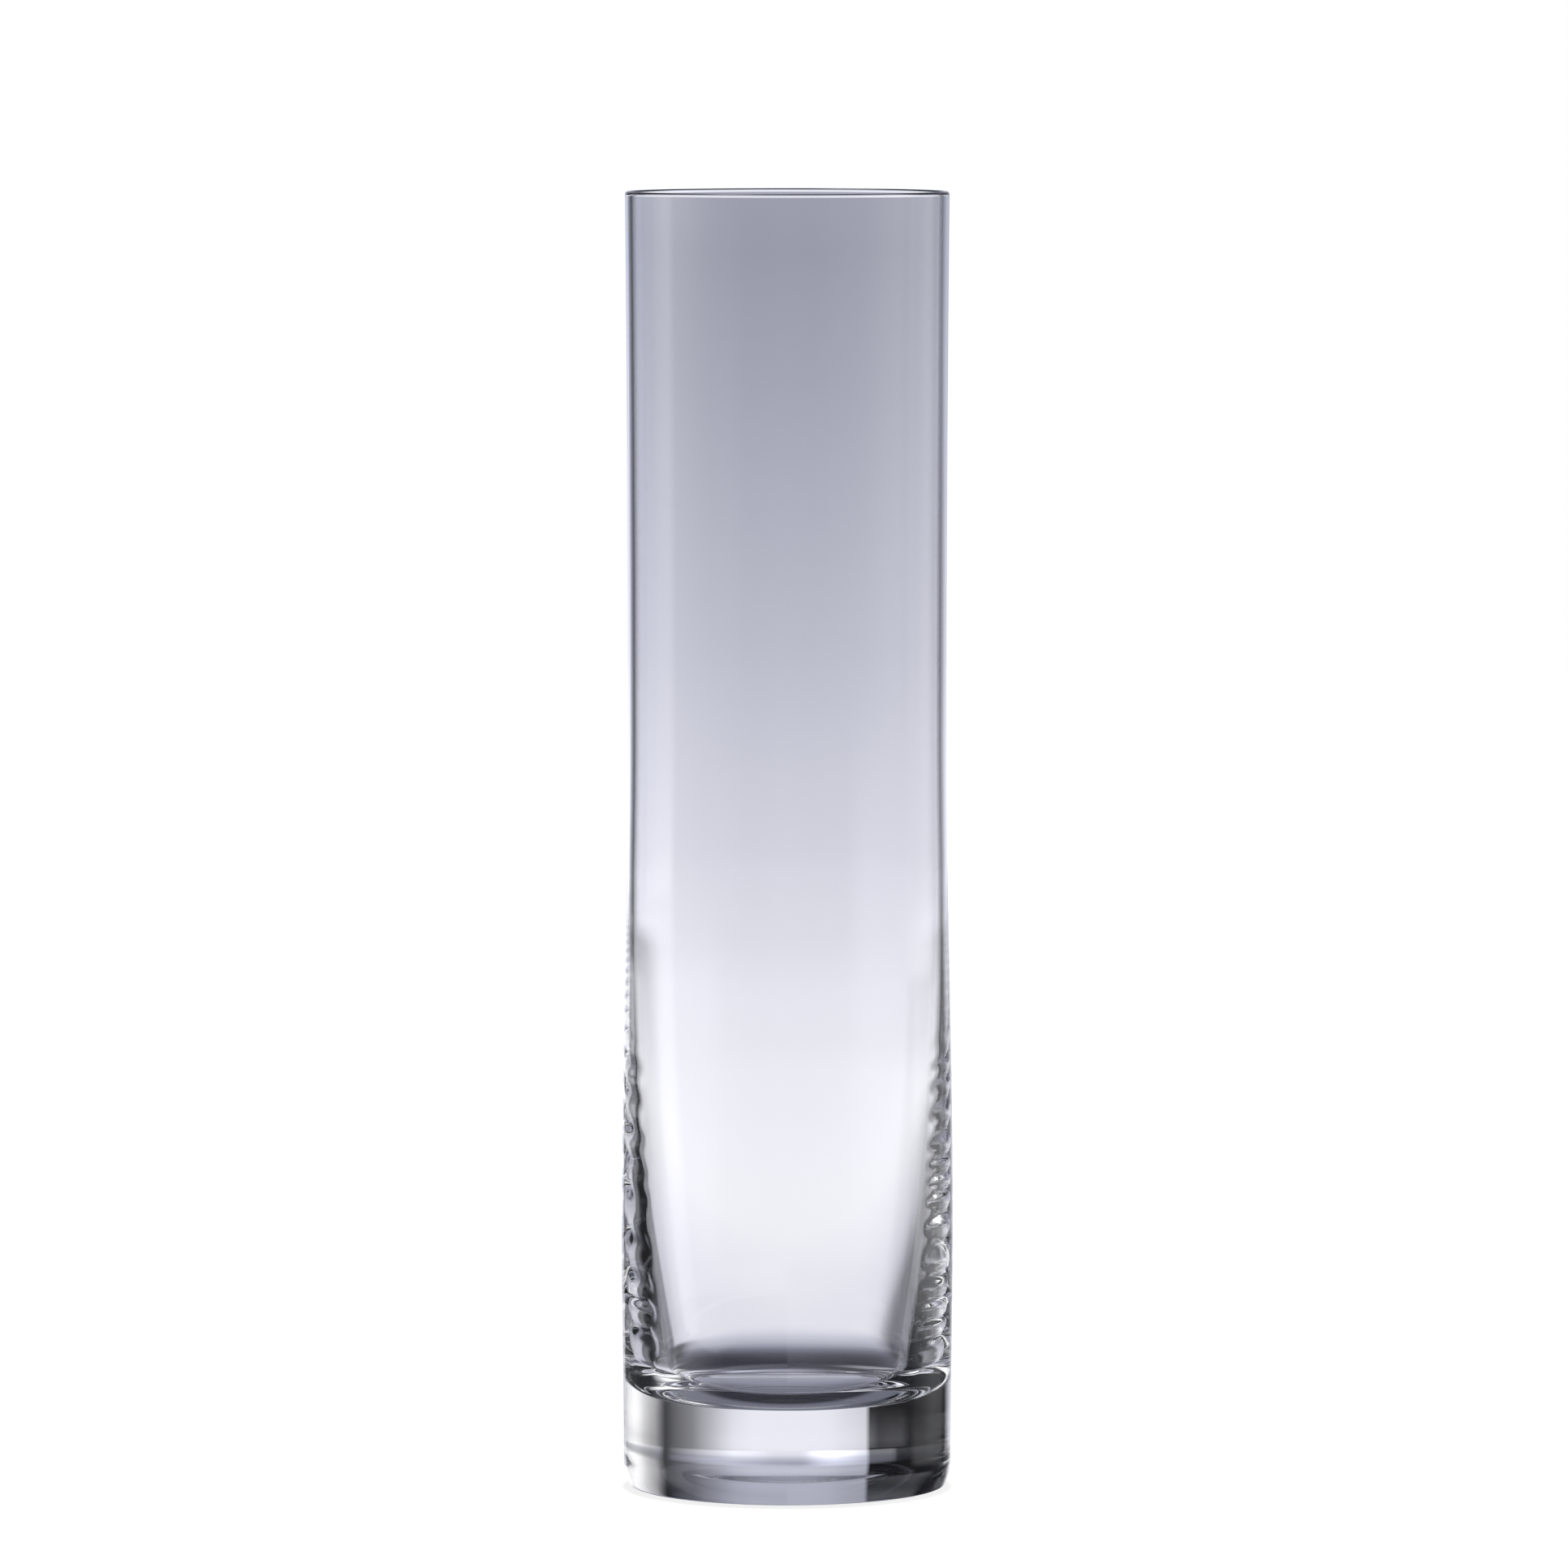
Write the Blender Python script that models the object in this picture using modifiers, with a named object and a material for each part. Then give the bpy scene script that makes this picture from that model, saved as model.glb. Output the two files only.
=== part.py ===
"""Glass cylinder vase: a tall blown vase of clear glass with a thin wall, a fire-polished lip and a heavy base.

The glass is one turned form. Its three zones, the base, the wall and the rim, are separate objects that share
one outside curve and one inside curve, so a change to either curve carries through all of them.
Lengths are in metres, +Z is up, and the origin is at the middle of the flat underside that the vase stands on.
"""

import math

import bmesh
import bpy

# Driving dimensions of the outside
HEIGHT = 0.300
RIM_DIAMETER = 0.0748
WAIST_DIAMETER = 0.0736
WAIST_HEIGHT = 0.175
BELLY_DIAMETER = 0.0770
BELLY_HEIGHT = 0.062
FOOT_DIAMETER = 0.0760
FOOT_EDGE_RISE = 0.0064
FOOT_EDGE_INSET = 0.0014
FOOT_ROUND = 0.0005

# Driving dimensions of the hollow and of the glass round it
WALL = 0.00155
LOWER_WALL = 0.00925
LOWER_WALL_HEIGHT = 0.030
TAPER_TOP = 0.145
FLOOR_HEIGHT = 0.0203
FLOOR_CORNER = 0.011

# How the glass is divided
RIM_DEPTH = 0.005
SEAM_GAP = 0.0003

# Facets: steps round the axis, and points along each stretch of a profile
STEPS_ROUND = 72
SIDE_POINTS = 21
BASE_SIDE_POINTS = 4
RIM_SIDE_POINTS = 3
CORNER_POINTS = 11
FOOT_EDGE_POINTS = 9
FOOT_ROUND_POINTS = 5
LIP_POINTS = 11
MERGE_DISTANCE = 0.00001
HALVINGS = 50

# The glass: clear and colourless, with a soda-lime glass's refraction
GLASS_COLOUR = (0.97, 0.98, 0.98, 1.0)
GLASS_IOR = 1.5
POLISHED = 0.0
FIRE_POLISHED = 0.02


def ease(share):
    """Runs from 0 to 1 with no slope at either end."""
    share = min(max(share, 0.0), 1.0)
    return share * share * (3 - 2 * share)


def outer_radius(z):
    """Radius of the outside at a height: a flare above the waist, and easy curves from waist to belly to foot.

    The last few millimetres above the underside draw in more and more.
    """
    waist = WAIST_DIAMETER / 2
    belly = BELLY_DIAMETER / 2
    foot = FOOT_DIAMETER / 2
    if z >= WAIST_HEIGHT:
        share = (z - WAIST_HEIGHT) / (HEIGHT - WAIST_HEIGHT)
        return waist + (RIM_DIAMETER / 2 - waist) * share**2
    if z >= BELLY_HEIGHT:
        return belly + (waist - belly) * ease((z - BELLY_HEIGHT) / (WAIST_HEIGHT - BELLY_HEIGHT))
    drawn_in = FOOT_EDGE_INSET * max(0.0, 1 - z / FOOT_EDGE_RISE) ** 2
    return foot + (belly - foot) * ease((z - FOOT_EDGE_RISE) / (BELLY_HEIGHT - FOOT_EDGE_RISE)) - drawn_in


def wall_thickness(z):
    """Thickness of the wall at a height: even above the taper, then growing smoothly down towards the base."""
    share = max(0.0, (TAPER_TOP - z) / (TAPER_TOP - LOWER_WALL_HEIGHT))
    return WALL + (LOWER_WALL - WALL) * share**2


def inner_radius(z):
    return outer_radius(z) - wall_thickness(z)


def corner_touching_wall(z):
    """Centre of the floor's round corner if it touches the hollow's wall at height z, and the wall's lean there."""
    small = WALL / 100
    lean = math.atan((inner_radius(z + small) - inner_radius(z - small)) / (2 * small))
    centre_r = inner_radius(z) - FLOOR_CORNER * math.cos(lean)
    centre_z = z + FLOOR_CORNER * math.sin(lean)
    return centre_r, centre_z, lean


def floor_corner():
    """The round corner that touches both the floor and the wall: its centre, the wall's lean, and where they meet."""
    low = 0.0
    high = HEIGHT
    for _ in range(HALVINGS):
        middle = (low + high) / 2
        if corner_touching_wall(middle)[1] > FLOOR_HEIGHT + FLOOR_CORNER:
            high = middle
        else:
            low = middle
    centre_r, centre_z, lean = corner_touching_wall(low)
    return centre_r, centre_z, lean, low


def arc(centre_r, centre_z, across, up, start, end, count):
    """Points on a circle or ellipse about a centre, as (radius, height), from one angle to another."""
    points = []
    for index in range(count):
        angle = start + (end - start) * index / (count - 1)
        points.append((centre_r + across * math.cos(angle), centre_z + up * math.sin(angle)))
    return points


def side(radius_at, start, end, count):
    """Points along the outside or the inside curve, evenly spaced in height."""
    points = []
    for index in range(count):
        z = start + (end - start) * index / (count - 1)
        points.append((radius_at(z), z))
    return points


def base_profile(base_top):
    """From the middle of the hollow's floor, up its corner, over the seam and down the outside to the axis."""
    corner_r, corner_z, lean, _ = floor_corner()
    quarter = math.pi / 2
    points = [(0.0, FLOOR_HEIGHT)]
    points += arc(corner_r, corner_z, FLOOR_CORNER, FLOOR_CORNER, -quarter, -lean, CORNER_POINTS)
    points += side(outer_radius, base_top, FOOT_EDGE_RISE, BASE_SIDE_POINTS)
    foot_lean = math.atan(2 * FOOT_EDGE_INSET / FOOT_EDGE_RISE)
    foot_z = FOOT_ROUND * (1 - math.sin(foot_lean))
    flat_r = outer_radius(foot_z) - FOOT_ROUND * math.cos(foot_lean)
    points += side(outer_radius, FOOT_EDGE_RISE, foot_z, FOOT_EDGE_POINTS)[1:-1]
    points += arc(flat_r, FOOT_ROUND, FOOT_ROUND, FOOT_ROUND, -foot_lean, -quarter, FOOT_ROUND_POINTS)
    points.append((0.0, 0.0))
    return points


def wall_profile(bottom, top):
    """A closed loop: down the outside and back up the tapering inside."""
    return side(outer_radius, top, bottom, SIDE_POINTS) + side(inner_radius, bottom, top, SIDE_POINTS)


def rim_profile(bottom):
    """A closed loop: over the round lip, down the outside, across the seam and up the inside."""
    lip = WALL / 2
    shoulder = HEIGHT - lip
    centre_r = (outer_radius(shoulder) + inner_radius(shoulder)) / 2
    points = arc(centre_r, shoulder, lip, lip, math.pi, 0.0, LIP_POINTS)
    points += side(outer_radius, shoulder, bottom, RIM_SIDE_POINTS)[1:]
    points += side(inner_radius, bottom, shoulder, RIM_SIDE_POINTS)[:-1]
    return points


def glass(name, roughness):
    material = bpy.data.materials.new(name)
    material.use_nodes = True
    shader = material.node_tree.nodes["Principled BSDF"]
    shader.inputs["Base Color"].default_value = GLASS_COLOUR
    shader.inputs["Roughness"].default_value = roughness
    shader.inputs["Metallic"].default_value = 0.0
    shader.inputs["IOR"].default_value = GLASS_IOR
    shader.inputs["Transmission Weight"].default_value = 1.0
    return material


def turned(name, profile, closed, seat, material, collection, parent):
    """An object spun from a profile of (radius, height) points, with its own origin on the axis at its seat."""
    mesh = bpy.data.meshes.new(name)
    outline = bmesh.new()
    verts = [outline.verts.new((radius, 0.0, z - seat)) for radius, z in profile]
    for first, second in zip(verts, verts[1:]):
        outline.edges.new((first, second))
    if closed:
        outline.edges.new((verts[-1], verts[0]))
    outline.to_mesh(mesh)
    outline.free()
    mesh.materials.append(material)
    piece = bpy.data.objects.new(name, mesh)
    collection.objects.link(piece)
    piece.parent = parent
    piece.location.z = seat
    spin = piece.modifiers.new("spin", "SCREW")
    spin.axis = "Z"
    spin.angle = math.tau
    spin.steps = STEPS_ROUND
    spin.render_steps = STEPS_ROUND
    spin.use_merge_vertices = True
    spin.merge_threshold = MERGE_DISTANCE
    spin.use_smooth_shade = True
    return piece


def build_vase():
    collection = bpy.data.collections.new("glass_cylinder_vase")
    bpy.context.scene.collection.children.link(collection)
    stand = bpy.data.objects.new("vase_axis", None)
    collection.objects.link(stand)

    base_top = floor_corner()[3]
    wall_bottom = base_top + SEAM_GAP
    rim_bottom = HEIGHT - RIM_DEPTH
    wall_top = rim_bottom - SEAM_GAP

    turned("base", base_profile(base_top), False, 0.0, glass("base_glass", POLISHED), collection, stand)
    body = wall_profile(wall_bottom, wall_top)
    turned("wall", body, True, wall_bottom, glass("wall_glass", POLISHED), collection, stand)
    turned("rim", rim_profile(rim_bottom), True, rim_bottom, glass("rim_glass", FIRE_POLISHED), collection, stand)
    print(f"base to {base_top * 1000:.2f} mm, wall to {wall_top * 1000:.2f} mm, rim to {HEIGHT * 1000:.2f} mm")


for leftover in list(bpy.data.objects):
    bpy.data.objects.remove(leftover)
build_vase()
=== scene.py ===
# %% [markdown]
# # A clear glass cylinder vase
# This lesson dresses a CAD model of a tall blown vase in real glass. The CAD file holds the vase as three
# solids, a heavy base, a wall and a rim, with hair-thin seams between them. Real glass has no seams, and
# a seam inside clear glass would show as a bright line, so the lesson makes one continuous skin that
# stands for all three. Everything is in metres, +Z is up, and the vase stands on the level of the origin.
# The first cell loads the CAD model and keeps its parts, so that their box can be read.

# %% Load the CAD frame
import math

import bmesh
import bpy
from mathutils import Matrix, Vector, noise


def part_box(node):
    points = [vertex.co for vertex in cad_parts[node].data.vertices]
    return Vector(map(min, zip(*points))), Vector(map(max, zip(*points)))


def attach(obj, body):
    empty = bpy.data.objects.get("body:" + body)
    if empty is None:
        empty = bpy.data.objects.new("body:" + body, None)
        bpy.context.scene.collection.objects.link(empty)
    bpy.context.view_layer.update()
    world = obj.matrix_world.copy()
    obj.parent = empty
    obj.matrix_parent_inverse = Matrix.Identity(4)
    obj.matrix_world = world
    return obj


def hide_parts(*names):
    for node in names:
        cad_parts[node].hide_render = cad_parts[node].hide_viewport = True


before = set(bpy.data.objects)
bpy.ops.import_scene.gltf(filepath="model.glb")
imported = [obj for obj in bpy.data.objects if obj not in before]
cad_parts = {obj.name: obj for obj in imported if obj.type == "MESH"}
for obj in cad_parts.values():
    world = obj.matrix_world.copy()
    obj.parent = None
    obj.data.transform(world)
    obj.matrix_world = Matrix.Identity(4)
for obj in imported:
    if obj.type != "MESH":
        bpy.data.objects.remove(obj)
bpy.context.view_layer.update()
MM = 0.001


# %% [markdown]
# ## The curve of the outside
# A blown cylinder is never quite straight. This one flares a little at the mouth, has its waist just
# above half way, swells over the heavy lower part and draws in again at the foot. The curve could be
# drawn by hand with a Bezier, but then nobody could say how wide the waist is. Here each stretch is an
# easy curve between two radii, so that every size has a name and the outline has no corner in it. The
# sizes are those of the CAD model, but the belly is a hair slimmer, which leaves room in the CAD box for
# the unevenness that the glass gets later.

# %% Outside curve
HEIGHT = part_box("rim")[1].z
MOUTH_RADIUS = 37.4 * MM
WAIST_RADIUS = 36.8 * MM
WAIST_HEIGHT = 175.0 * MM
SKIN_INSET = 0.04 * MM
BELLY_RADIUS = 38.5 * MM - SKIN_INSET
BELLY_HEIGHT = 62.0 * MM
FOOT_RADIUS = 38.0 * MM
FOOT_EDGE_RISE = 6.4 * MM
FOOT_EDGE_INSET = 1.4 * MM
FOOT_ROUND = 0.5 * MM


def ease(share):
    """Runs from 0 to 1 with no slope at either end."""
    share = min(max(share, 0.0), 1.0)
    return share * share * (3 - 2 * share)


def outer_radius(z):
    """Radius of the outside at a height."""
    if z >= WAIST_HEIGHT:
        share = (z - WAIST_HEIGHT) / (HEIGHT - WAIST_HEIGHT)
        return WAIST_RADIUS + (MOUTH_RADIUS - WAIST_RADIUS) * share**2
    if z >= BELLY_HEIGHT:
        share = (z - BELLY_HEIGHT) / (WAIST_HEIGHT - BELLY_HEIGHT)
        return BELLY_RADIUS + (WAIST_RADIUS - BELLY_RADIUS) * ease(share)
    share = (z - FOOT_EDGE_RISE) / (BELLY_HEIGHT - FOOT_EDGE_RISE)
    drawn_in = FOOT_EDGE_INSET * max(0.0, 1 - z / FOOT_EDGE_RISE) ** 2
    return FOOT_RADIUS + (BELLY_RADIUS - FOOT_RADIUS) * ease(share) - drawn_in


print("outside diameter at the foot, belly, waist and mouth:",
      [round(2 * outer_radius(z) / MM, 1) for z in (FOOT_EDGE_RISE, BELLY_HEIGHT, WAIST_HEIGHT, HEIGHT)])

# %% [markdown]
# ## The hollow
# The wall is thin and even above, and below it thickens smoothly into the heavy base. What a clear vase
# shows is decided here, because each change in the wall's thickness bends the light behind it. A Solidify
# modifier would give one thickness all over, so the inside is a curve of its own. The thickness grows
# with the square of the depth, which leaves no kink: a kink would show as a line right across the glass.
# The hollow ends in a round corner and a flat floor, and the place where the corner touches the leaning
# wall is found by halving.

# %% Inside curve
WALL = 1.55 * MM
LOWER_WALL = 9.25 * MM
LOWER_WALL_HEIGHT = 30.0 * MM
TAPER_TOP = 145.0 * MM
FLOOR_HEIGHT = 20.3 * MM
FLOOR_CORNER = 11.0 * MM
SLOPE_STEP = WALL / 100
HALVINGS = 50


def inner_radius(z):
    """Radius of the hollow at a height above its floor's corner."""
    share = max(0.0, (TAPER_TOP - z) / (TAPER_TOP - LOWER_WALL_HEIGHT))
    return outer_radius(z) - WALL - (LOWER_WALL - WALL) * share**2


def corner_touching_wall(z):
    """Centre of the floor's round corner if it touches the wall at height z, and the wall's lean there."""
    widening = inner_radius(z + SLOPE_STEP) - inner_radius(z - SLOPE_STEP)
    lean = math.atan(widening / (2 * SLOPE_STEP))
    return inner_radius(z) - FLOOR_CORNER * math.cos(lean), z + FLOOR_CORNER * math.sin(lean), lean


def corner_height():
    """Height at which the floor's corner meets the wall, found by halving."""
    low = 0.0
    high = HEIGHT
    for _ in range(HALVINGS):
        middle = (low + high) / 2
        if corner_touching_wall(middle)[1] > FLOOR_HEIGHT + FLOOR_CORNER:
            high = middle
        else:
            low = middle
    return low


CORNER_TOP = corner_height()
print("the floor's corner meets the wall at", round(CORNER_TOP / MM, 2), "mm")

# %% [markdown]
# ## The outline to be turned
# A glass-blower thinks of the vase as one line turned about an axis, and so does this step. The line
# starts in the middle of the hollow's floor, climbs the inside, goes over the round lip and comes down
# the outside to the foot and the flat underside. The points lie closer together low down, because the
# ripples made later need them there, and a point is set just before each arc, to keep the smooth shading
# from rolling onto the flat beside it.

# %% Points of the outline
HOLD = 0.3 * MM
FINE_STEP = 0.7 * MM
OUTSIDE_STEP = 1.8 * MM
FOOT_STEP = 0.5 * MM
COARSE_STEP = 5.0 * MM
CORNER_POINTS = 30
LIP_POINTS = 13
FOOT_POINTS = 9
QUARTER = math.pi / 2


def arc(centre_r, centre_z, radius, start, end, count):
    angles = [start + (end - start) * k / (count - 1) for k in range(count)]
    return [(centre_r + radius * math.cos(a), centre_z + radius * math.sin(a)) for a in angles]


def side(radius_at, start, end, step):
    count = max(2, round(abs(end - start) / step) + 1)
    heights = [start + (end - start) * k / (count - 1) for k in range(count)]
    return [(radius_at(z), z) for z in heights]


def vase_outline():
    """Points of the outline as (radius, height), from the hollow's floor round to the underside."""
    corner_r, corner_z, lean = corner_touching_wall(CORNER_TOP)
    lip = WALL / 2
    shoulder = HEIGHT - lip
    lip_r = (outer_radius(shoulder) + inner_radius(shoulder)) / 2
    foot_lean = math.atan(2 * FOOT_EDGE_INSET / FOOT_EDGE_RISE)
    foot_z = FOOT_ROUND * (1 - math.sin(foot_lean))
    flat_r = outer_radius(foot_z) - FOOT_ROUND * math.cos(foot_lean)
    points = [(0.0, FLOOR_HEIGHT), (corner_r / 2, FLOOR_HEIGHT), (corner_r - HOLD, FLOOR_HEIGHT)]
    points += arc(corner_r, corner_z, FLOOR_CORNER, -QUARTER, -lean, CORNER_POINTS)
    points += side(inner_radius, CORNER_TOP, TAPER_TOP, FINE_STEP)[1:]
    points += side(inner_radius, TAPER_TOP, shoulder - HOLD, COARSE_STEP)[1:]
    points += arc(lip_r, shoulder, lip, math.pi, 0.0, LIP_POINTS)
    points += side(outer_radius, shoulder - HOLD, TAPER_TOP, COARSE_STEP)
    points += side(outer_radius, TAPER_TOP, FOOT_EDGE_RISE, OUTSIDE_STEP)[1:]
    points += side(outer_radius, FOOT_EDGE_RISE, foot_z, FOOT_STEP)[1:-1]
    points += arc(flat_r, FOOT_ROUND, FOOT_ROUND, -foot_lean, -QUARTER, FOOT_POINTS)
    points += [(flat_r - HOLD, 0.0), (flat_r / 2, 0.0), (0.0, 0.0)]
    return points


outline = vase_outline()
print("outline of", len(outline), "points")

# %% [markdown]
# ## Turning the glass
# Glass is blown on a turning pipe, so every level section of it is round. A Screw modifier could turn the
# outline, but the ripples need real vertices to move, so this is done in a bmesh. One vertex is extruded
# from point to point, and the spin operator turns the line about the axis. use_merge closes the last step
# onto the first. The two ends on the axis become heaps of vertices in one place, so the doubles are
# merged before the faces are turned to point outwards.

# %% Spin the outline
STEPS_ROUND = 240
MERGE = 0.001 * MM
CM = 10 * MM
glass_bm = bmesh.new()
tip = bmesh.ops.create_vert(glass_bm, co=(outline[0][0], 0.0, outline[0][1]))["vert"][0]
for radius, z in outline[1:]:
    tip = bmesh.ops.extrude_vert_indiv(glass_bm, verts=[tip])["verts"][0]
    tip.co = (radius, 0.0, z)
bmesh.ops.spin(glass_bm, geom=glass_bm.verts[:] + glass_bm.edges[:], cent=(0, 0, 0), axis=(0, 0, 1),
               angle=math.tau, steps=STEPS_ROUND, use_merge=True)
bmesh.ops.remove_doubles(glass_bm, verts=glass_bm.verts[:], dist=MERGE)
bmesh.ops.recalc_face_normals(glass_bm, faces=glass_bm.faces[:])
open_edges = [edge for edge in glass_bm.edges if not edge.is_manifold]
print("turned", len(glass_bm.faces), "faces, open edges:", len(open_edges),
      "glass:", round(glass_bm.calc_volume() / CM**3, 1), "cm3")

# %% [markdown]
# ## Ripples left by the blowing
# Thick blown glass cools unevenly, and the lower wall keeps faint level ripples inside and out, a few
# millimetres from crest to crest and about a tenth of a millimetre deep. Seen straight through they
# vanish. At the two sides, where the light runs along inside the wall, each ripple becomes a bright and a
# dark lens, and that is how heavy glass is known at a glance. A bump map would be the quick way, but it
# only tilts the shading, which can't be trusted where the light grazes the surface. So the ripples are
# real shape: vertices of the lower wall move a little along their radius.

# %% The pattern of the ripples
LEFT_PITCH = 7.6 * MM
RIGHT_PITCH = 5.6 * MM
LEFT_LUMPS = 0.7
RIGHT_LUMPS = 0.25
STRAY = 0.9
STRENGTH = 0.75
SLOW_ROUND = 0.5
PITCHES_PER_SWELL = 3
LUMPS_ROUND = 4
LUMPS_PER_PITCH = 1.6


def noise_round(angle, turns, height):
    """Soft noise on a cylinder, finer round it with more turns and finer up it with more height."""
    return noise.noise(Vector((turns * math.cos(angle), turns * math.sin(angle), height)))


def waves(angle, z):
    """Level ripples that stray up and down and vary in strength, with more lumps among them at the left."""
    on_left = math.cos(angle) < 0
    pitch = LEFT_PITCH if on_left else RIGHT_PITCH
    lumpy = LEFT_LUMPS if on_left else RIGHT_LUMPS
    swell = z / (PITCHES_PER_SWELL * pitch)
    stray = STRAY * noise_round(angle, SLOW_ROUND, swell)
    strength = STRENGTH + noise_round(angle, 2 * SLOW_ROUND, 2 * swell)
    lumps = noise_round(angle, LUMPS_ROUND, LUMPS_PER_PITCH * z / pitch)
    return (1 - lumpy / 2) * strength * math.sin(math.tau * (z / pitch + stray)) + lumpy * lumps


half_way = (FLOOR_HEIGHT + TAPER_TOP) / 2
print("ripple at the left and the right, half way up the taper:",
      round(waves(math.pi, half_way), 2), round(waves(0.0, half_way), 2))

# %% [markdown]
# ## Where the ripples lie
# Inside, the ripples are kept to a zone at each side, a little in front of the widest line, because that
# is where the light of the two strips turns. The front and the back stay calm, so that the hollow shows
# clear. Outside, a soft unevenness goes right round and the ripples are only at the very sides, where
# they also make the outline of the thick glass a little alive. The ripples fade out upwards into the thin
# wall and downwards into the floor's corner, and the soft unevenness fades out upwards.

# %% Move the lower wall
RIPPLE_TOP = 112.0 * MM
RIPPLE_FULL = 88.0 * MM
LEFT_DEPTH = 0.09 * MM
RIGHT_DEPTH = 0.1 * MM
RIPPLE_ZONE = (-23.0, -8.0)
WOBBLE_DEPTH = 0.022 * MM
WOBBLE_ZONE = (-15.0, 2.0)
WOBBLE_PITCH = 14.0 * MM
WOBBLE_START = 7.0
SOFT_SHARE = 0.5
ZONE_FADE = 6.0


def beside(angle, zone):
    """1 in a zone at each side of the vase and 0 elsewhere, in degrees behind its widest line."""
    turn = math.degrees(math.atan2(math.sin(angle), abs(math.cos(angle))))
    return ease((turn - zone[0]) / ZONE_FADE + 1) * ease((zone[1] - turn) / ZONE_FADE + 1)


def rippled_share(z):
    """How much of the ripples there is at a height."""
    return ease((RIPPLE_TOP - z) / (RIPPLE_TOP - RIPPLE_FULL)) * ease((z - FLOOR_HEIGHT) / FLOOR_CORNER)


def ripple(angle, z):
    """How far the inside of the lower wall moves outwards."""
    depth = LEFT_DEPTH if math.cos(angle) < 0 else RIGHT_DEPTH
    return depth * rippled_share(z) * beside(angle, RIPPLE_ZONE) * waves(angle, z)


def wobble(angle, z):
    """How far the outside of the lower wall moves outwards."""
    soft = SOFT_SHARE * ease((RIPPLE_TOP - z) / RIPPLE_TOP)
    uneven = soft * noise_round(angle, LUMPS_ROUND, z / WOBBLE_PITCH + WOBBLE_START)
    rippled = rippled_share(z) * beside(angle, WOBBLE_ZONE) * waves(angle, z + WOBBLE_PITCH)
    return WOBBLE_DEPTH * (uneven + rippled)


shifts = []
for vert in glass_bm.verts:
    z = vert.co.z
    radius = math.hypot(vert.co.x, vert.co.y)
    if FOOT_EDGE_RISE <= z <= RIPPLE_TOP and radius >= FLOOR_CORNER:
        angle = math.atan2(vert.co.y, vert.co.x)
        inside = radius < outer_radius(z) - WALL / 2
        shift = ripple(angle, z) if inside else wobble(angle, z)
        vert.co.x *= 1 + shift / radius
        vert.co.y *= 1 + shift / radius
        shifts.append(abs(shift))
print("moved", len(shifts), "vertices by at most", round(max(shifts) / MM, 3), "mm")

# %% [markdown]
# ## One piece of glass
# The vase is blown from one gather, so it becomes one object. It stays at the origin, unturned and
# unscaled, with its shape in the mesh itself. Smooth shading matters more on glass than on anything else:
# flat facets would break the picture behind it into strips. The object rides on the one body there is,
# and the three CAD nodes it stands for are hidden.

# %% Make the glass object
mesh = bpy.data.meshes.new("vase_glass")
glass_bm.to_mesh(mesh)
glass_bm.free()
mesh.shade_smooth()
vase = bpy.data.objects.new("vase_glass", mesh)
bpy.context.scene.collection.objects.link(vase)
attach(vase, "root")
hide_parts("base", "wall", "rim")
print("vase_glass has", len(mesh.polygons), "faces")

# %% [markdown]
# ## The glass itself
# Clear glass has no colour of its own to paint: it is a Principled shader with all its light transmitted,
# a white base and the refraction of soda-lime glass. Its finish is never perfect, though. Where breath,
# water and a cloth have been, the polish is a little less sharp, so the roughness follows a soft noise.
# Blowing also leaves the skin very slightly uneven, which a second noise adds as a bump of a few
# thousandths of a millimetre. Both noises use Object coordinates, so that they stay with the glass.

# %% Glass material
GLASS_IOR = 1.5
POLISH = (0.0, 0.012)
POLISH_PATCH = 26.0 * MM
POLISH_DETAIL = 3.0
POLISH_NOISE = (0.45, 0.8)
SKIN_PATCH = 18.0 * MM
SKIN_DETAIL = 0.0
SKIN_HEIGHT = 0.004 * MM
WHITE = (1.0, 1.0, 1.0, 1.0)
glass = bpy.data.materials.new("clear_blown_glass")
glass.use_nodes = True
glass_tree = glass.node_tree
shader = glass_tree.nodes["Principled BSDF"]
shader.inputs["Base Color"].default_value = WHITE
shader.inputs["Transmission Weight"].default_value = 1.0
shader.inputs["IOR"].default_value = GLASS_IOR
glass_place = glass_tree.nodes.new("ShaderNodeTexCoord")


def glass_noise(patch, detail):
    """A soft noise in the glass, with patches of the given size."""
    texture = glass_tree.nodes.new("ShaderNodeTexNoise")
    texture.inputs["Scale"].default_value = 1 / patch
    texture.inputs["Detail"].default_value = detail
    glass_tree.links.new(glass_place.outputs["Object"], texture.inputs["Vector"])
    return texture.outputs["Fac"]


polish = glass_tree.nodes.new("ShaderNodeMapRange")
polish.inputs["From Min"].default_value = POLISH_NOISE[0]
polish.inputs["From Max"].default_value = POLISH_NOISE[1]
polish.inputs["To Min"].default_value = POLISH[0]
polish.inputs["To Max"].default_value = POLISH[1]
glass_tree.links.new(glass_noise(POLISH_PATCH, POLISH_DETAIL), polish.inputs["Value"])
glass_tree.links.new(polish.outputs["Result"], shader.inputs["Roughness"])
skin = glass_tree.nodes.new("ShaderNodeBump")
skin.inputs["Strength"].default_value = 1.0
skin.inputs["Distance"].default_value = SKIN_HEIGHT
glass_tree.links.new(glass_noise(SKIN_PATCH, SKIN_DETAIL), skin.inputs["Height"])
glass_tree.links.new(skin.outputs["Normal"], shader.inputs["Normal"])
mesh.materials.append(glass)
print("glass with refraction", GLASS_IOR, "and roughness", POLISH[0], "to", POLISH[1])

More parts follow.
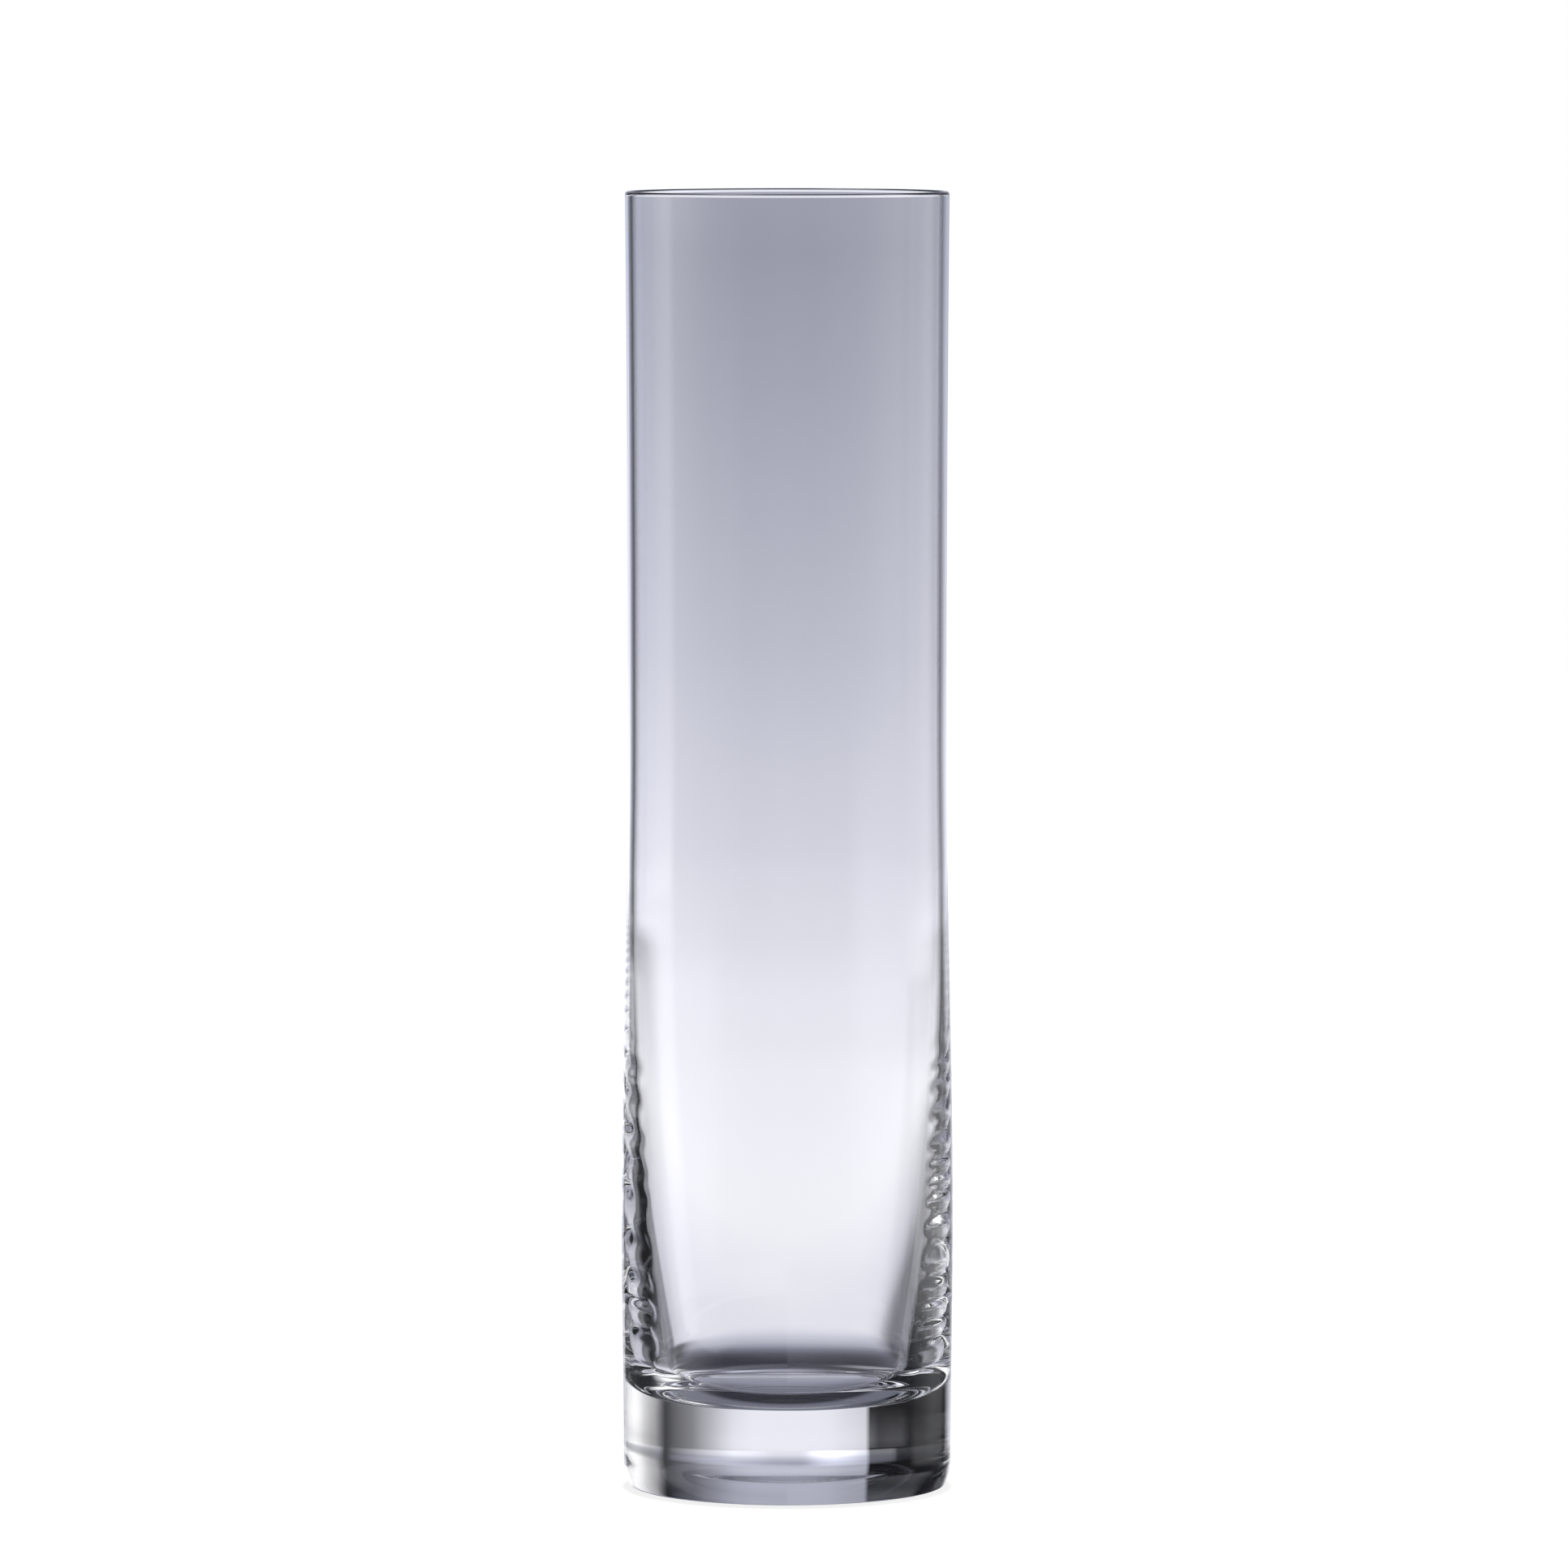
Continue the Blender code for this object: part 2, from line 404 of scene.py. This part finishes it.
# %% [markdown]
# ## The studio
# Glass shows nothing but what is round it, so the light is arranged as a photographer does it: a pale
# sweep behind the vase, dark cards beside it to draw the edges of the glass, and a soft box on either
# side. These could be lamps and cards of mesh, but small ones give noise and hard edges inside thick
# glass. So the studio is painted on the world by direction. Azimuth 0 is straight behind the vase and
# grows to the right, and elevation 0 is level. This cell only makes the tools: the two angles, and
# colours that change with an angle.

# %% Studio directions
RIGHT_ANGLE = 90.0
HALF_TURN = 180.0
world = bpy.data.worlds.new("studio")
bpy.context.scene.world = world
world.use_nodes = True
tree = world.node_tree
tree.nodes.clear()


def calculate(operation, first, second):
    """A sum on two values, each a socket or a plain number."""
    step = tree.nodes.new("ShaderNodeMath")
    step.operation = operation
    for socket, value in zip(step.inputs, (first, second)):
        if isinstance(value, (int, float)):
            socket.default_value = value
        else:
            tree.links.new(value, socket)
    return step.outputs["Value"]


def by_angle(angle, low, high, stops):
    """A colour that changes with an angle through the given (degrees, colour) stops."""
    span = tree.nodes.new("ShaderNodeMapRange")
    span.inputs["From Min"].default_value = low
    span.inputs["From Max"].default_value = high
    tree.links.new(angle, span.inputs["Value"])
    ramp = tree.nodes.new("ShaderNodeValToRGB")
    elements = ramp.color_ramp.elements
    elements.remove(elements[1])
    for index, (degrees, colour) in enumerate(stops):
        place = (degrees - low) / (high - low)
        element = elements[0] if index == 0 else elements.new(place)
        element.position = place
        element.color = (*colour, 1.0)
    tree.links.new(span.outputs["Result"], ramp.inputs["Fac"])
    return ramp.outputs["Color"]


coordinates = tree.nodes.new("ShaderNodeTexCoord")
parts = tree.nodes.new("ShaderNodeSeparateXYZ")
tree.links.new(coordinates.outputs["Generated"], parts.inputs["Vector"])
turn = calculate("ARCTAN2", parts.outputs["X"], parts.outputs["Y"])
azimuth = calculate("MULTIPLY", turn, math.degrees(1))
rise = calculate("ARCSINE", parts.outputs["Z"], 0.0)
elevation = calculate("MULTIPLY", rise, math.degrees(1))
print("studio directions made with", len(tree.nodes), "nodes")

# %% [markdown]
# ## The sweep behind the vase
# A sweep is a sheet of paper that runs from the table up the wall without a corner. The lamp lights its
# foot most, just above the table's far edge, so it fades upwards, and that is why the vase is pale below
# and greyer above. A paler strip follows just over the horizon, which is seen low in the base. Further
# down, close to the base, the table is dark. The paper is a cool, faintly lavender white, bluer in the
# shade. A gradient texture has only two ends, so a colour ramp with a stop for each turn of the light is
# used.

# %% Sweep
SHADE_GREEN = 0.05
LIGHT_BLUE = 0.06
SHADE_BLUE = 0.38
SWEEP = [(-90, 0.40), (-69, 0.40), (-65.5, 0.22), (-60, 0.06), (-46, 0.03), (-40, 0.05), (-36, 0.085),
         (-32, 0.19), (-28, 0.40), (-24, 0.56), (-19, 0.74), (-15, 0.87), (-12.5, 1.02), (-9, 0.92),
         (-7.5, 0.89), (-6.5, 0.83), (-5, 0.78), (-4.5, 0.735), (-3.75, 0.60), (-2.85, 0.50),
         (-1.9, 0.40), (-1.1, 0.345), (0, 0.50), (2, 0.58), (4, 0.50), (8, 0.41), (40, 0.20), (62, 0.16),
         (72, 0.35), (80, 0.45), (90, 0.45)]


def lavender(level):
    """The paper's colour at a brightness: cool grey in the shade and close to white in the light."""
    shade = max(0.0, 1.0 - level)
    return (level, level * (1 + SHADE_GREEN * shade), level * (1 + LIGHT_BLUE * level + SHADE_BLUE * shade))


sweep = by_angle(elevation, -RIGHT_ANGLE, RIGHT_ANGLE, [(angle, lavender(level)) for angle, level in SWEEP])
print("sweep with", len(SWEEP), "stops, brightest", max(level for _, level in SWEEP))

# %% [markdown]
# ## The cards on the table
# Black cards stand on the table at the left and the right of the vase. The thick wall bends the light
# from them into its two strips, and without them the sides of the glass would vanish into the white. A
# card is a list of stops round the vase, each an azimuth and the share of the sweep's light that is left
# there. Low down there are four such belts, from the table right under the base to its far edge, because
# each is seen through another part of the glass.

# %% Cards low down
TABLE_UNDER = [(-180, 0.3), (-60, 0.3), (-22, 0.4), (-10, 0.8), (0, 1), (13, 1.2), (20, 2.5), (40, 2),
               (60, 1), (180, 1)]
TABLE_DARK = [(-180, 0.5), (-120, 0.6), (-108, 0.05), (-60, 0.02), (-48.5, 0.02), (-47.3, 0.6),
              (-42.7, 0.6), (-41.5, 0.02), (-36, 0.05), (-16, 0.1), (-9, 0.9), (0, 1), (9, 0.95),
              (15, 0.12), (58, 0.05), (66, 0.5), (75, 1), (110, 0.9), (135, 0.7), (180, 0.5)]
TABLE_NEAR = [(-180, 0.5), (-120, 0.6), (-108, 0.05), (-60, 0.02), (-37.5, 0.02), (-35, 0.1), (-31, 0.3),
              (-24.2, 0.3), (-23.2, 0.9), (-15, 1.05), (-9, 1.02), (-5, 1), (5, 1), (8, 1), (11, 0.85),
              (13.5, 0.45), (16, 0.26), (20, 0.2), (26, 0.26), (36, 0.38), (39, 0.2), (41, 0.03),
              (56, 0.04), (66, 0.5), (75, 1), (110, 0.9), (135, 0.7), (180, 0.5)]
TABLE_FAR = [(-180, 0.5), (-120, 0.6), (-108, 0.05), (-60, 0.03), (-41, 0.03), (-36, 0.05), (-34, 0.2),
             (-24.2, 0.25), (-23.2, 0.95), (-14, 1.05), (-9, 1), (-6, 0.98), (-4, 0.97), (6, 0.97),
             (9, 0.95), (12, 0.85), (15, 0.7), (19, 0.5), (23, 0.2), (30, 0.16), (34, 0.04), (50, 0.04),
             (60, 0.5), (70, 0.9), (110, 0.9), (135, 0.7), (180, 0.5)]
table_cards = (TABLE_UNDER, TABLE_DARK, TABLE_NEAR, TABLE_FAR)
print("cards on the table with", [len(cards) for cards in table_cards], "stops")

# %% [markdown]
# ## The cards beside the sweep
# Behind the vase the sweep is only some twenty degrees wide to each side, and the room beyond it is dark.
# At the level of the base the left edge is a sharp black card, which the solid base turns round and shows
# as a dark panel at its right. Above and below that level the sweep is a little brighter near its edges,
# because the thin wall loses light at the outline. Above the sweep there is only the dim room, and a pale
# ceiling at the top.

# %% Cards at the height of the sweep
SWEEP_FOOT = [(-180, 0.05), (-60, 0.05), (-36, 0.1), (-33, 0.5), (-28, 0.5), (-24, 0.4), (-20, 1.15),
              (-15, 1.35), (-11, 1.2), (-8, 1.08), (-6, 1.02), (-4, 1), (4, 1), (8, 1.08), (12, 1.2),
              (16, 1.05), (20, 0.6), (25, 0.2), (32, 0.1), (37, 0.02), (39, 0.05), (88, 0.05),
              (180, 0.05)]
SWEEP_CARD = [(-180, 0.05), (-118, 0.04), (-95, 0.03), (-70, 0.02), (-20.3, 0.012), (-19.8, 0.75),
              (-14, 0.84), (-10, 0.96), (-6, 1), (8, 1), (13, 0.88), (19, 0.53), (25, 0.24), (33, 0.08),
              (35.5, 0.02), (37, 0.02), (39, 0.05), (88, 0.05), (112, 0.03), (180, 0.05)]
SWEEP_MIDDLE = [(-180, 0.05), (-60, 0.05), (-31, 0.06), (-29, 0.25), (-20.3, 0.25), (-19.8, 1.05),
                (-15, 1.45), (-11, 1.8), (-8, 1.65), (-6, 1.4), (-4.5, 1.12), (-3, 1), (3, 1), (8, 1.2),
                (13, 1.25), (18, 0.9), (25, 0.5), (33, 0.15), (35.5, 0.02), (37, 0.02), (39, 0.3),
                (60, 0.4), (88, 0.06), (180, 0.05)]
SWEEP_HIGH = [(-180, 0.05), (-60, 0.05), (-31, 0.06), (-29, 0.3), (-20.3, 0.35), (-19.8, 1.3),
              (-15, 1.75), (-11, 1.98), (-8, 1.8), (-6, 1.44), (-4.5, 1.12), (-3, 1), (3, 1.02),
              (8, 1.23), (14, 1.42), (20, 1.15), (25, 0.8), (33, 0.3), (35.5, 0.02), (37, 0.02),
              (39, 0.3), (60, 0.4), (88, 0.06), (180, 0.05)]
ROOM = [(-180, 0.06), (-45, 0.06), (-25, 0.9), (0, 1), (30, 0.9), (45, 0.5), (60, 0.1), (120, 0.3),
        (132, 0.1), (180, 0.06)]
CEILING = [(-180, 1), (180, 1)]
sweep_cards = (SWEEP_FOOT, SWEEP_CARD, SWEEP_MIDDLE, SWEEP_HIGH)
print("cards beside the sweep with", [len(cards) for cards in sweep_cards], "stops")

# %% [markdown]
# ## Hanging the cards
# Each belt of cards covers a band of elevation, and in the gap between two bands one belt fades into the
# next. The result is multiplied with the sweep. One picture painted for the whole studio would be an
# image texture, with pixels that the glass magnifies. A chain of Mix nodes has no pixels, however near
# the glass brings it.

# %% Hang the cards in belts
BELTS = [(-90, -40, TABLE_UNDER), (-34, -23.5, TABLE_DARK), (-20.5, -17, TABLE_NEAR),
         (-15, -12.5, TABLE_FAR), (-11, -8, SWEEP_FOOT), (-7.65, -6.85, SWEEP_CARD),
         (-6.4, -3.2, SWEEP_MIDDLE), (-2, -1, SWEEP_HIGH), (0.5, 8, SWEEP_CARD), (16, 50, ROOM),
         (64, 90, CEILING)]


def grey(level):
    return (level, level, level)


def level_by_azimuth(stops):
    return by_angle(azimuth, -HALF_TURN, HALF_TURN, [(angle, grey(level)) for angle, level in stops])


def level_by_elevation(stops):
    return by_angle(elevation, -RIGHT_ANGLE, RIGHT_ANGLE, [(angle, grey(level)) for angle, level in stops])


def mix(kind, first, second, share=1.0):
    """Two colours put together by a Mix node. Each may be a socket or a plain colour."""
    step = tree.nodes.new("ShaderNodeMix")
    step.data_type = "RGBA"
    step.blend_type = kind
    sockets = {socket.identifier: socket for socket in step.inputs}
    for name, value in (("Factor_Float", share), ("A_Color", first), ("B_Color", second)):
        if isinstance(value, (int, float)):
            sockets[name].default_value = value
        elif isinstance(value, tuple):
            sockets[name].default_value = (*value, 1.0)
        else:
            tree.links.new(value, sockets[name])
    return next(socket for socket in step.outputs if socket.identifier == "Result_Color")


around = level_by_azimuth(BELTS[0][2])
for (_, top_below, _), (bottom, _, cards) in zip(BELTS, BELTS[1:]):
    fade = level_by_elevation([(-RIGHT_ANGLE, 0), (top_below, 0), (bottom, 1), (RIGHT_ANGLE, 1)])
    around = mix("MIX", around, level_by_azimuth(cards), fade)
studio = mix("MULTIPLY", sweep, around)
print("cards hung in", len(BELTS), "belts")

# %% [markdown]
# ## Pale paper on the table
# The table is not dark all round. Pale sheets lie on it to the left and the right, and one stands at the
# far left, so that the vase still looks like clear glass from the sides and from behind. A small one
# gives the left of the floor's ring its light. Each sheet is a product of two ramps, one across and one
# up, which gives it soft edges.

# %% Pale sheets
PALE = 0.8
TABLE_ACROSS = [(-180, 0), (-66, 0), (-60, 1), (-43, 1), (-37, 0), (58, 0), (66, 1), (180, 1)]
TABLE_UP = [(-90, 1), (-33, 1), (-23, 0), (90, 0)]
RING_ACROSS = [(-180, 0), (-20, 0), (-16, 1), (-10, 1), (-4, 0), (180, 0)]
RING_UP = [(-90, 0), (-54, 0), (-49, 1), (-45, 1), (-40, 0), (90, 0)]
SIDE_ACROSS = [(-180, 0), (-135, 0), (-118, 1), (-76, 1), (-68, 0), (180, 0)]
SIDE_UP = [(-90, 0), (-30, 0), (-18, 1), (-7, 1), (-3.5, 0), (90, 0)]


def sheet(across_stops, up_stops):
    """A soft-edged sheet: how much of it there is in each direction."""
    return mix("MULTIPLY", level_by_azimuth(across_stops), level_by_elevation(up_stops))


PALE_SHEETS = [(TABLE_ACROSS, TABLE_UP), (RING_ACROSS, RING_UP), (SIDE_ACROSS, SIDE_UP)]
for across, up in PALE_SHEETS:
    studio = mix("MIX", studio, lavender(PALE), sheet(across, up))
print("pale sheets laid:", len(PALE_SHEETS))

# %% [markdown]
# ## The soft boxes
# A soft box is a lamp behind a white cloth. The one at the left makes the long soft reflection near the
# outline. The two at the right do two jobs: the low one shines through the solid base and lights its left
# end, and the tall one is mirrored in the floor's ring. An area lamp would do, but its edges would show
# in the base as hard bars, so these are painted with soft ramps as well. The left one adds its light, and
# the others cover what is behind them.

# %% Soft boxes
LEFT_LIGHT = (1.0, 1.0, 1.04)
LEFT_BOX_ACROSS = [(-180, 0), (-150, 0), (-120, 0.35), (-100, 0.8), (-85, 1), (-76, 0.7), (-66, 0),
                   (180, 0)]
LEFT_BOX_UP = [(-90, 0), (-8, 0), (-7.3, 0.02), (-3, 1), (-0.5, 1), (2, 0.1), (5, 0), (90, 0)]
RIGHT_LIGHT = (1.45, 1.45, 1.48)
RIGHT_BOX_ACROSS = [(-180, 0), (37, 0), (40, 0.11), (42, 0.24), (46, 0.39), (50, 0.54), (54, 0.78),
                    (60, 1), (77, 1), (84, 0), (180, 0)]
RIGHT_BOX_UP = [(-90, 0), (-8.1, 0), (-7.6, 1), (-6.8, 1), (-4.5, 0.42), (-1, 0.42), (2, 1), (10, 1),
                (18, 0), (90, 0)]
TALL_BOX_ACROSS = [(-180, 0), (70, 0), (78, 1), (96, 1), (118, 0.3), (128, 0), (180, 0)]
TALL_BOX_UP = [(-90, 0), (-1, 0), (2, 1), (32, 1), (42, 0), (90, 0)]
studio = mix("ADD", studio, mix("MULTIPLY", LEFT_LIGHT, sheet(LEFT_BOX_ACROSS, LEFT_BOX_UP)))
studio = mix("MIX", studio, RIGHT_LIGHT, sheet(RIGHT_BOX_ACROSS, RIGHT_BOX_UP))
studio = mix("MIX", studio, RIGHT_LIGHT, sheet(TALL_BOX_ACROSS, TALL_BOX_UP))
print("soft boxes of strength", LEFT_LIGHT[0], "at the left and", RIGHT_LIGHT[0], "at the right")

# %% [markdown]
# ## The plain backdrop
# Beside the vase the picture is plain white, as in a catalogue. There the camera looks straight at the
# world, so the Light Path node gives those rays a white backdrop, and only rays that have met the glass
# see the studio. The other way, a white card behind the vase, would hide the studio from the glass as
# well.

# %% Backdrop that the camera sees
light_path = tree.nodes.new("ShaderNodeLightPath")
studio = mix("MIX", studio, grey(1.0), light_path.outputs["Is Camera Ray"])
background = tree.nodes.new("ShaderNodeBackground")
tree.links.new(studio, background.inputs["Color"])
world_output = tree.nodes.new("ShaderNodeOutputWorld")
tree.links.new(background.outputs["Background"], world_output.inputs["Surface"])
print("studio of", len(tree.nodes), "nodes with a plain white backdrop")

# %% [markdown]
# ## The floor
# A plain pale floor carries the vase. It could be a shadow catcher, but a real disc shows the faint shade
# at the foot and needs no second picture. The glass looks past it at the studio, because a floor without
# an end would fill the base with one flat white. It lies a little lower than the foot, so that the two
# never share a plane.

# %% Floor
FLOOR_RADIUS = 3.0
FLOOR_DROP = 0.6 * MM
FLOOR_PAINT = (0.3, 0.3, 0.3, 1.0)
FLOOR_GLOW = 0.85
FLOOR_ROUGHNESS = 0.9
DISC_SIDES = 96


def disc(name, radius, z):
    """A flat disc of the set, which is no piece of the vase."""
    disc_bm = bmesh.new()
    bmesh.ops.create_circle(disc_bm, cap_ends=True, segments=DISC_SIDES, radius=radius)
    bmesh.ops.translate(disc_bm, verts=disc_bm.verts[:], vec=(0, 0, z))
    disc_mesh = bpy.data.meshes.new(name)
    disc_bm.to_mesh(disc_mesh)
    disc_bm.free()
    made = bpy.data.objects.new(name, disc_mesh)
    bpy.context.scene.collection.objects.link(made)
    return made


floor = disc("floor", FLOOR_RADIUS, -FLOOR_DROP)
floor_paint = bpy.data.materials.new("pale_floor")
floor_paint.use_nodes = True
floor_shader = floor_paint.node_tree.nodes["Principled BSDF"]
floor_shader.inputs["Base Color"].default_value = FLOOR_PAINT
floor_shader.inputs["Emission Color"].default_value = WHITE
floor_shader.inputs["Emission Strength"].default_value = FLOOR_GLOW
floor_shader.inputs["Roughness"].default_value = FLOOR_ROUGHNESS
floor_shader.inputs["Specular IOR Level"].default_value = 0.0
floor.data.materials.append(floor_paint)
floor.visible_transmission = False
floor.visible_glossy = False
print("floor", 2 * FLOOR_RADIUS, "m across")

# %% [markdown]
# ## The shaded patch under the base
# What is seen down through the hollow's floor is the table right under the vase. Little light gets there:
# it is dark at the front and a soft grey at the back, where the light of the sweep comes in through the
# glass. A lit material would need many bounces to find that out, so the patch glows by a ramp from front
# to back, and the camera sees it only through the glass.

# %% Patch under the base
PATCH_RADIUS = 36.0 * MM
PATCH_DROP = 0.3 * MM
PATCH_LIGHT = [(-30, 0.03), (-18, 0.03), (-12, 0.15), (5, 0.16), (10, 0.28), (22, 0.36), (36, 0.30)]
patch = disc("patch_under_base", PATCH_RADIUS, -PATCH_DROP)
patch_paint = bpy.data.materials.new("shaded_floor")
patch_paint.use_nodes = True
patch_tree = patch_paint.node_tree
patch_tree.nodes.clear()
patch_place = patch_tree.nodes.new("ShaderNodeTexCoord")
patch_parts = patch_tree.nodes.new("ShaderNodeSeparateXYZ")
patch_tree.links.new(patch_place.outputs["Object"], patch_parts.inputs["Vector"])
reach = patch_tree.nodes.new("ShaderNodeMapRange")
reach.inputs["From Min"].default_value = -PATCH_RADIUS
reach.inputs["From Max"].default_value = PATCH_RADIUS
patch_tree.links.new(patch_parts.outputs["Y"], reach.inputs["Value"])
patch_ramp = patch_tree.nodes.new("ShaderNodeValToRGB")
patch_stops = patch_ramp.color_ramp.elements
patch_stops.remove(patch_stops[1])
for index, (depth, level) in enumerate(PATCH_LIGHT):
    share = (depth * MM + PATCH_RADIUS) / (2 * PATCH_RADIUS)
    stop = patch_stops[0] if index == 0 else patch_stops.new(share)
    stop.position = share
    stop.color = (*lavender(level), 1.0)
patch_tree.links.new(reach.outputs["Result"], patch_ramp.inputs["Fac"])
patch_glow = patch_tree.nodes.new("ShaderNodeEmission")
patch_tree.links.new(patch_ramp.outputs["Color"], patch_glow.inputs["Color"])
patch_output = patch_tree.nodes.new("ShaderNodeOutputMaterial")
patch_tree.links.new(patch_glow.outputs["Emission"], patch_output.inputs["Surface"])
patch.data.materials.append(patch_paint)
patch.visible_camera = False
patch.visible_diffuse = False
patch.visible_shadow = False
print("patch", round(2 * PATCH_RADIUS / MM), "mm across, with", len(PATCH_LIGHT), "stops of light")

# %% [markdown]
# ## Light on the floor
# The painted studio is dim overhead, so the floor gets a soft sun from straight above. It brings the
# floor up to the white of the backdrop and leaves a trace of shade at the foot. The glass doesn't see
# this sun, which would put a hard spark on the lip.

# %% Overhead light
OVERHEAD_STRENGTH = 2.0
OVERHEAD_SPREAD = math.radians(3)
lamp = bpy.data.lights.new("overhead", "SUN")
lamp.energy = OVERHEAD_STRENGTH
lamp.angle = OVERHEAD_SPREAD
overhead = bpy.data.objects.new("overhead", lamp)
bpy.context.scene.collection.objects.link(overhead)
overhead.visible_transmission = False
overhead.visible_glossy = False
overhead.visible_camera = False
print("overhead light of strength", OVERHEAD_STRENGTH)

# %% [markdown]
# ## The camera
# A long lens from two and a half metres looks down on the vase by about four degrees. From there the
# mouth closes to a thin ellipse and the base shows the curve of its foot. A short lens from nearer would
# open the mouth wider and make the foot swell. The lens follows from the picture's width and the focal
# length in pixels.

# %% Camera
IMAGE_PIXELS = 1932
FOCAL_PIXELS = 13084
SENSOR = 36.0
CAMERA_DISTANCE = 2.450
CAMERA_HEIGHT = 0.346
CAMERA_SIDE = -0.75 * MM
AIM_HEIGHT = 0.163
lens = bpy.data.cameras.new("camera")
lens.sensor_fit = "HORIZONTAL"
lens.sensor_width = SENSOR
lens.lens = SENSOR * FOCAL_PIXELS / IMAGE_PIXELS
camera = bpy.data.objects.new("camera", lens)
camera.location = (CAMERA_SIDE, -CAMERA_DISTANCE, CAMERA_HEIGHT)
tilt = math.atan2(CAMERA_HEIGHT - AIM_HEIGHT, CAMERA_DISTANCE)
camera.rotation_euler = (QUARTER - tilt, 0.0, 0.0)
bpy.context.scene.collection.objects.link(camera)
bpy.context.scene.camera = camera
print("camera looks down by", round(math.degrees(tilt), 2), "degrees, lens", round(lens.lens), "mm")

# %% [markdown]
# ## How light is followed and shown
# In the thick lower wall a ray is mirrored dozens of times before it gets out. With the usual number of
# bounces it would be given up and the strips would turn black, so the limit is raised. The Standard view
# transform shows the paper's white as white, where a filmic one would grey it.

# %% Bounces and view
BOUNCES = 96
scene = bpy.context.scene
scene.view_settings.view_transform = "Standard"
scene.cycles.max_bounces = BOUNCES
scene.cycles.glossy_bounces = BOUNCES
scene.cycles.transmission_bounces = BOUNCES
print("light is followed for", BOUNCES, "bounces, shown with", scene.view_settings.view_transform)
